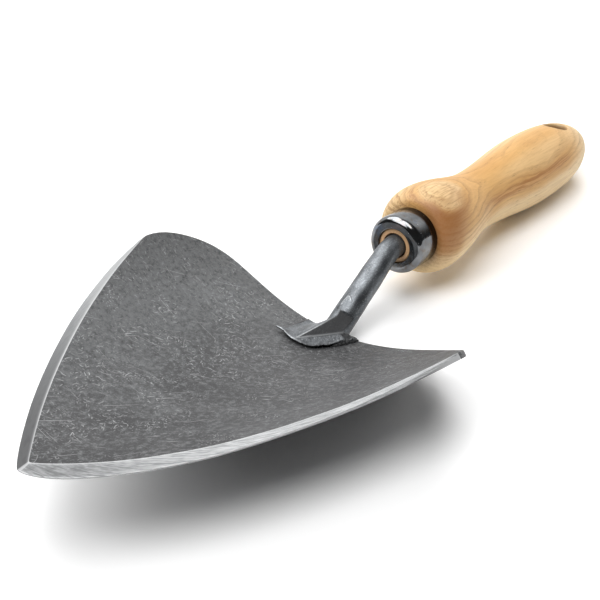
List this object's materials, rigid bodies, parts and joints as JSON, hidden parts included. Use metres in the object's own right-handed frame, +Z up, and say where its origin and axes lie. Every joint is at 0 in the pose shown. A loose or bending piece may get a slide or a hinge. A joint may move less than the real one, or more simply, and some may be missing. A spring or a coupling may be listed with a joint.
{
  "type": "transplanting spade",
  "caption": "Short-handled transplanting spade: a dished heart-shaped steel blade on a cranked tang, with a steel ferrule and a turned ash handle with a hanging hole.",
  "frame": {"origin": "on the ground under the middle of the tool's length, as it lies at rest", "axes": "+X along the tool towards the end of the handle, -X towards the blade's tip, +Z up"},
  "size_m": [0.3108, 0.119, 0.0367],
  "materials": {
    "blade_steel": "scratched grey forged steel with a bright ground edge",
    "tang_steel": "pale grey forged steel, rubbed bright on its ridges",
    "weld_steel": "dark granular weld",
    "blued_steel": "dark blued steel, polished",
    "ash_wood": "turned ash, oiled, with its growth rings showing"
  },
  "bodies": {
    "root": {"blade": "blade_steel", "tang": "tang_steel", "leaf_weld": "weld_steel", "heel_weld": "weld_steel", "ferrule": "blued_steel", "handle": "ash_wood"}
  },
  "joints": []
}
